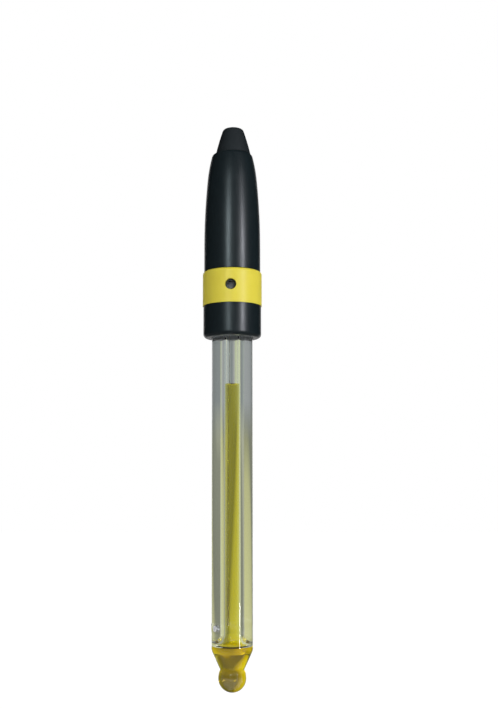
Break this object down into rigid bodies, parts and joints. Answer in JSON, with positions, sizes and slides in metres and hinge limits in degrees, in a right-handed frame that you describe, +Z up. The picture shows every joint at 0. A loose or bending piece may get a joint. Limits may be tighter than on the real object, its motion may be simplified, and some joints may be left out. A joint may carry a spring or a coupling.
{
  "type": "ph electrode",
  "caption": "Slim glass pH electrode with a black tapered head, a yellow turning fill ring, a yellow-filled inner stem and a round sensing bulb.",
  "frame": {"origin": "centre of the collar's flat underside, which rests on an electrode holder", "axes": "+Z up along the electrode's axis to the cable boot, -Y to the front, near which the fill port faces"},
  "size_m": [0.0174, 0.0174, 0.1651],
  "materials": {
    "clear_glass": "clear drawn borosilicate tube",
    "sensing_glass": "thin blown sensing glass, clear",
    "white_ceramic": "porous white ceramic, dull",
    "yellow_buffer": "clear yellow solution",
    "clear_electrolyte": "clear solution",
    "silver": "drawn silver wire",
    "silver_chloride": "dull grey-brown chloride coat",
    "seal_rubber": "smooth black sealing rubber",
    "clear_silicone": "milky silicone",
    "black_plastic": "satin moulded plastic, bluish black",
    "yellow_plastic": "satin moulded plastic, yellow",
    "potting_resin": "cast resin",
    "ferrule_brass": "crimped brass",
    "boot_rubber": "matt moulded rubber, black"
  },
  "bodies": {
    "electrode": {"outer_tube": "clear_glass", "inner_stem": "clear_glass", "sensing_bulb": "sensing_glass", "ceramic_junction": "white_ceramic", "inner_buffer": "yellow_buffer", "reference_electrolyte": "clear_electrolyte", "measuring_wire": "silver", "measuring_element": "silver_chloride", "reference_wire": "silver", "reference_element": "silver_chloride", "stem_stopper": "seal_rubber", "chamber_plug": "clear_silicone", "collar": "black_plastic", "glass_seal": "seal_rubber", "ring_seal_lower": "seal_rubber", "ring_seal_upper": "seal_rubber", "head_shell": "black_plastic", "head_potting": "potting_resin", "measuring_ferrule": "ferrule_brass", "reference_ferrule": "ferrule_brass", "cable_boot": "boot_rubber"},
    "ring": {"fill_ring": "yellow_plastic"}
  },
  "joints": [
    {"name": "ring_turn", "type": "hinge", "parent": "electrode", "child": "ring", "pos_m": [0, 0, 0.0146], "axis": [0, 0, 1], "continuous": true}
  ]
}
